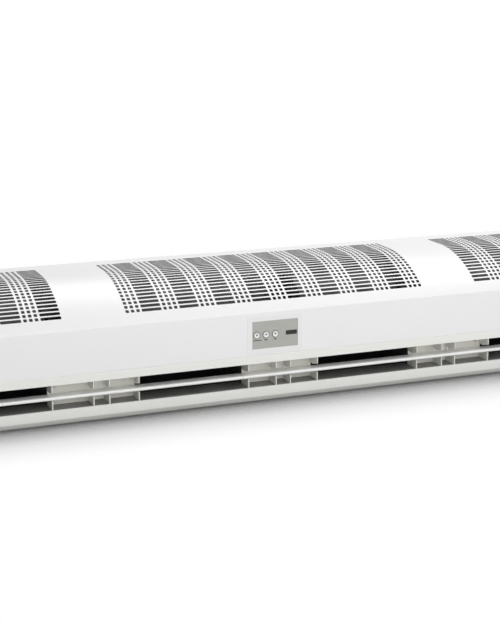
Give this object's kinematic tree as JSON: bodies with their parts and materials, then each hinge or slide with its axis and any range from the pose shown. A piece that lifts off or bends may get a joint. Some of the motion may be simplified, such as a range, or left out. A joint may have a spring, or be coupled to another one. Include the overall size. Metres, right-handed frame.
{
  "type": "air curtain",
  "caption": "Long air curtain with a slotted curved cover, wheel-and-scroll fans, a slot outlet with a guide vane, and a small button panel.",
  "frame": {"origin": "middle of the flat wall face that the object lies on", "axes": "+X along the length, +Y from the outlet front to the rear (up when it hangs over a door), +Z from the wall face to the room side"},
  "size_m": [1.2044, 0.2272, 0.213],
  "materials": {
    "white_paint": "smooth satin powder coat",
    "warm_white": "satin paint, slightly warm",
    "cap_white": "fine matt",
    "galvanised": "zinc-coated sheet, dull",
    "wheel_metal": "mill finish",
    "steel": "turned",
    "dark_steel": "blackened",
    "motor_paint": "satin black paint",
    "rubber_black": "matt",
    "nylon_dark": "matt",
    "plate_grey": "fine matt",
    "button_white": "satin",
    "window_dark": "gloss",
    "cream_plastic": "matt",
    "board_green": "lacquered board",
    "screw_zinc": "zinc plated",
    "brass_screw": "bright"
  },
  "bodies": {
    "casing": {"back_tray": "galvanised", "front_cover": "white_paint", "end_cap_left": "cap_white", "end_cap_right": "cap_white", "outlet_frame": "warm_white", "filler_1": "warm_white", "filler_2": "warm_white", "filler_3": "warm_white", "filler_4": "warm_white", "filler_5": "warm_white", "filler_6": "warm_white", "vane_bush_left": "nylon_dark", "vane_bush_right": "nylon_dark", "scroll_1": "galvanised", "scroll_2": "galvanised", "scroll_3": "galvanised", "scroll_4": "galvanised", "motor_1": "motor_paint", "motor_2": "motor_paint", "motor_rings_1": "rubber_black", "motor_rings_2": "rubber_black", "motor_cradle_1": "galvanised", "motor_cradle_2": "galvanised", "motor_bolts": "screw_zinc", "capacitor_1": "cream_plastic", "capacitor_2": "cream_plastic", "capacitor_clip_1": "steel", "capacitor_clip_2": "steel", "panel_border": "cap_white", "panel_plate": "plate_grey", "receiver_window": "window_dark", "control_box": "nylon_dark", "control_board": "board_green", "board_screws": "screw_zinc", "terminal_block": "cream_plastic", "terminal_screws": "brass_screw", "inlet_grommet": "rubber_black", "cover_screws": "screw_zinc", "cap_screws": "screw_zinc", "filler_screws": "screw_zinc", "scroll_screws": "screw_zinc"},
    "left_rotor": {"shaft_1": "steel", "wheel_1": "wheel_metal", "wheel_2": "wheel_metal", "set_screws_1": "dark_steel"},
    "right_rotor": {"shaft_2": "steel", "wheel_3": "wheel_metal", "wheel_4": "wheel_metal", "set_screws_2": "dark_steel"},
    "vane": {"guide_vane": "warm_white"},
    "first_button": {"button_1": "button_white"},
    "second_button": {"button_2": "button_white"},
    "third_button": {"button_3": "button_white"}
  },
  "joints": [
    {"name": "left_rotor_spin", "type": "hinge", "parent": "casing", "child": "left_rotor", "pos_m": [-0.322, 0.013, 0.104], "axis": [-1, 0, 0], "continuous": true},
    {"name": "right_rotor_spin", "type": "hinge", "parent": "casing", "child": "right_rotor", "pos_m": [0.322, 0.013, 0.104], "axis": [-1, 0, 0], "continuous": true},
    {"name": "vane_tilt", "type": "hinge", "parent": "casing", "child": "vane", "pos_m": [0, -0.1086, 0.0448], "axis": [1, 0, 0], "range_deg": [-12, 12]},
    {"name": "first_button_press", "type": "slide", "parent": "casing", "child": "first_button", "axis": [0, 1, 0], "range_m": [0, 0.001], "stiffness_N_per_m": 1200, "springref_m": -0.0005},
    {"name": "second_button_press", "type": "slide", "parent": "casing", "child": "second_button", "axis": [0, 1, 0], "range_m": [0, 0.001], "stiffness_N_per_m": 1200, "springref_m": -0.0005},
    {"name": "third_button_press", "type": "slide", "parent": "casing", "child": "third_button", "axis": [0, 1, 0], "range_m": [0, 0.001], "stiffness_N_per_m": 1200, "springref_m": -0.0005}
  ]
}
